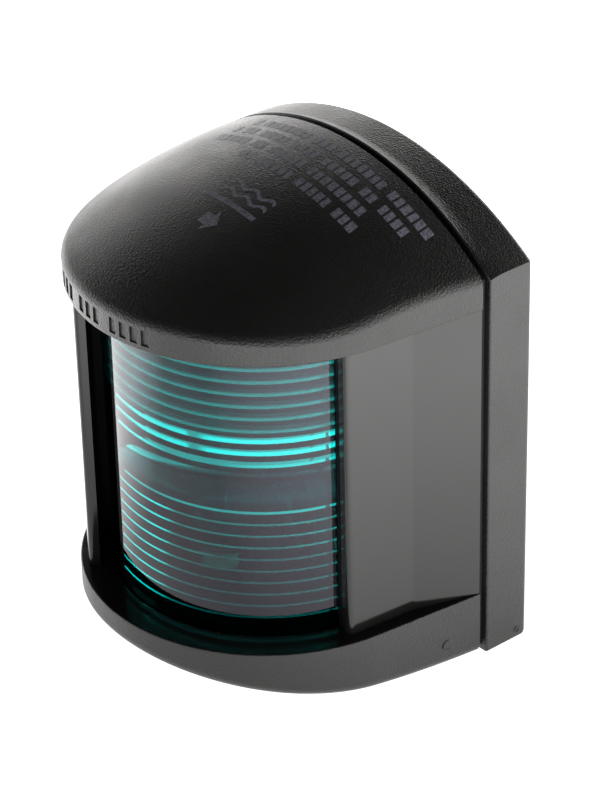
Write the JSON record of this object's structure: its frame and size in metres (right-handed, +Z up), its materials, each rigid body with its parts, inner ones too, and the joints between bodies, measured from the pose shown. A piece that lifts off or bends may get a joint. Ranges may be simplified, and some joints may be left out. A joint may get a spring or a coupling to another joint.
{
  "type": "navigation light",
  "caption": "Bulkhead-mounted starboard side light for a small boat: black domed cover, green Fresnel lens on the fore side, base with cable entry, festoon lamp inside.",
  "frame": {"origin": "middle of the flat mounting face at the back of the base, 38.5 mm above the bottom edge", "axes": "+X towards the bow, parallel to the bulkhead; +Y into the bulkhead; +Z up"},
  "size_m": [0.065, 0.0555, 0.0787],
  "materials": {
    "black_moulding": "injection-moulded black ABS, fine grained on the cap and rim, polished on the side screens",
    "rubber": "moulded black rubber",
    "green_lens": "clear tinted green plastic, smooth outside, prism rings inside",
    "stainless": "stainless steel",
    "brass": "turned brass",
    "spring_brass": "tinned spring brass strip",
    "nickel_plate": "nickel plated",
    "white_nylon": "off-white nylon moulding",
    "clear_glass": "clear lamp glass",
    "tungsten": "tungsten wire"
  },
  "bodies": {
    "base": {"base_plate": "black_moulding", "cable_grommet": "rubber", "cover_seal": "rubber", "lamp_holder": "white_nylon", "holder_screw_aft": "stainless", "holder_screw_fore": "stainless", "contact_upper": "spring_brass", "contact_lower": "spring_brass", "contact_rivet_upper": "brass", "contact_rivet_lower": "brass", "terminal_nut_upper": "brass", "terminal_nut_lower": "brass"},
    "cover": {"front_housing": "black_moulding", "fresnel_lens": "green_lens", "lens_seal_lower": "rubber", "lens_seal_upper": "rubber", "cover_screw_nut": "brass"},
    "cover_screw_collar": {"cover_screw_washer": "rubber"},
    "cover_screw_shank": {"cover_screw": "stainless"},
    "lamp": {"lamp_glass": "clear_glass", "lamp_cap_upper": "nickel_plate", "lamp_cap_lower": "nickel_plate", "lamp_filament": "tungsten"},
    "upper_clamp": {"clamp_washer_upper": "nickel_plate"},
    "upper_terminal": {"terminal_screw_upper": "stainless"},
    "lower_clamp": {"clamp_washer_lower": "nickel_plate"},
    "lower_terminal": {"terminal_screw_lower": "stainless"}
  },
  "joints": [
    {"name": "cover_slide", "type": "slide", "parent": "base", "child": "cover", "axis": [0, -1, 0], "range_m": [0, 0.045]},
    {"name": "cover_screw_travel", "type": "slide", "parent": "cover", "child": "cover_screw_collar", "axis": [0, 0, -1], "range_m": [0, 0.0021]},
    {"name": "cover_screw_turn", "type": "hinge", "parent": "cover_screw_collar", "child": "cover_screw_shank", "pos_m": [0, -0.016, -0.0365], "axis": [0, 0, -1], "range_deg": [0, 1080]},
    {"name": "lamp_pull", "type": "slide", "parent": "base", "child": "lamp", "axis": [0, -1, 0], "range_m": [0, 0.008]},
    {"name": "upper_clamp_travel", "type": "slide", "parent": "base", "child": "upper_clamp", "axis": [0, -1, 0], "range_m": [0, 0.0015]},
    {"name": "upper_terminal_turn", "type": "hinge", "parent": "upper_clamp", "child": "upper_terminal", "pos_m": [0, -0.022, 0.0075], "axis": [0, -1, 0], "range_deg": [0, 1080]},
    {"name": "lower_clamp_travel", "type": "slide", "parent": "base", "child": "lower_clamp", "axis": [0, -1, 0], "range_m": [0, 0.0015]},
    {"name": "lower_terminal_turn", "type": "hinge", "parent": "lower_clamp", "child": "lower_terminal", "pos_m": [0, -0.022, -0.0155], "axis": [0, -1, 0], "range_deg": [0, 1080]}
  ],
  "couplings": [
    {"joint": "cover_screw_turn", "follows": "cover_screw_travel", "rad_per_m": 8976},
    {"joint": "upper_terminal_turn", "follows": "upper_clamp_travel", "rad_per_m": 12566},
    {"joint": "lower_terminal_turn", "follows": "lower_clamp_travel", "rad_per_m": 12566}
  ]
}
